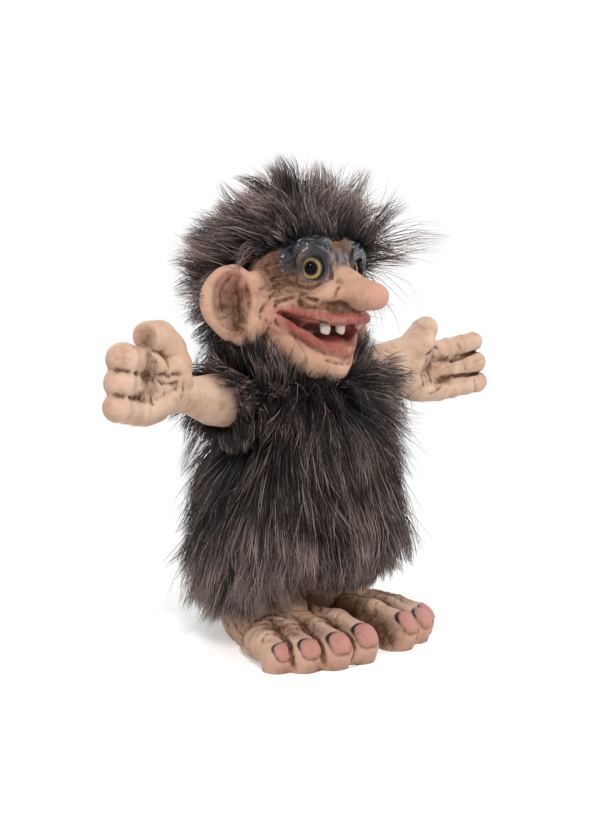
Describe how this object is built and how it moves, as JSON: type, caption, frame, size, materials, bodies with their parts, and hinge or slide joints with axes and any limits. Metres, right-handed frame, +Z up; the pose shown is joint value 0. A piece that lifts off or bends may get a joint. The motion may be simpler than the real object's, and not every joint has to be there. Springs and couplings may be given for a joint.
{
  "type": "norwegian troll figure",
  "caption": "Standing troll ornament with bare cast feet, open hands, big nose and ears, glass eyes, shaggy fur coat and wild hair; the head and arms turn on pegs.",
  "frame": {"origin": "on the floor under the middle of the figure's bounding box", "axes": "+Z up, the figure faces -Y, +X towards its left hand"},
  "size_m": [0.2406, 0.1041, 0.192],
  "materials": {
    "skin": "satin, painted",
    "coat_fur": "long pile fur",
    "hair": "long pile fur",
    "backing_knit": "knit",
    "core_wood": "bare",
    "peg_wood": "bare",
    "pivot_plastic": "matte",
    "eye_glass": "polished",
    "eye_gold": "gloss",
    "eye_black": "gloss",
    "tooth": "satin"
  },
  "bodies": {
    "torso": {"torso_core": "core_wood", "neck_bush": "pivot_plastic", "neck_washer": "pivot_plastic", "right_shoulder_bush": "pivot_plastic", "left_shoulder_bush": "pivot_plastic", "right_shoulder_washer": "pivot_plastic", "left_shoulder_washer": "pivot_plastic", "right_leg_dowel": "peg_wood", "left_leg_dowel": "peg_wood", "right_foot": "skin", "left_foot": "skin", "coat_backing": "backing_knit", "coat_pile": "coat_fur"},
    "head": {"head": "skin", "neck_peg": "peg_wood", "right_tooth": "tooth", "left_tooth": "tooth", "right_eye_lens": "eye_glass", "left_eye_lens": "eye_glass", "right_eye_pupil": "eye_black", "left_eye_pupil": "eye_black", "right_eye_iris": "eye_gold", "left_eye_iris": "eye_gold", "right_eye_shank": "eye_black", "left_eye_shank": "eye_black", "wig_backing": "backing_knit", "wig_mane": "hair"},
    "right_arm": {"right_arm": "skin", "right_arm_peg": "peg_wood"},
    "left_arm": {"left_arm": "skin", "left_arm_peg": "peg_wood"}
  },
  "joints": [
    {"name": "head_turn", "type": "hinge", "parent": "torso", "child": "head", "pos_m": [0, 0.00005, 0.106], "axis": [0, 0, 1], "range_deg": [-45, 45]},
    {"name": "right_arm_turn", "type": "hinge", "parent": "torso", "child": "right_arm", "pos_m": [-0.028, 0.00305, 0.0993], "axis": [0.9813, 0.1118, -0.1564], "range_deg": [-30, 30]},
    {"name": "left_arm_turn", "type": "hinge", "parent": "torso", "child": "left_arm", "pos_m": [0.028, 0.00305, 0.0993], "axis": [0.9813, -0.1118, 0.1564], "range_deg": [-30, 30]}
  ]
}
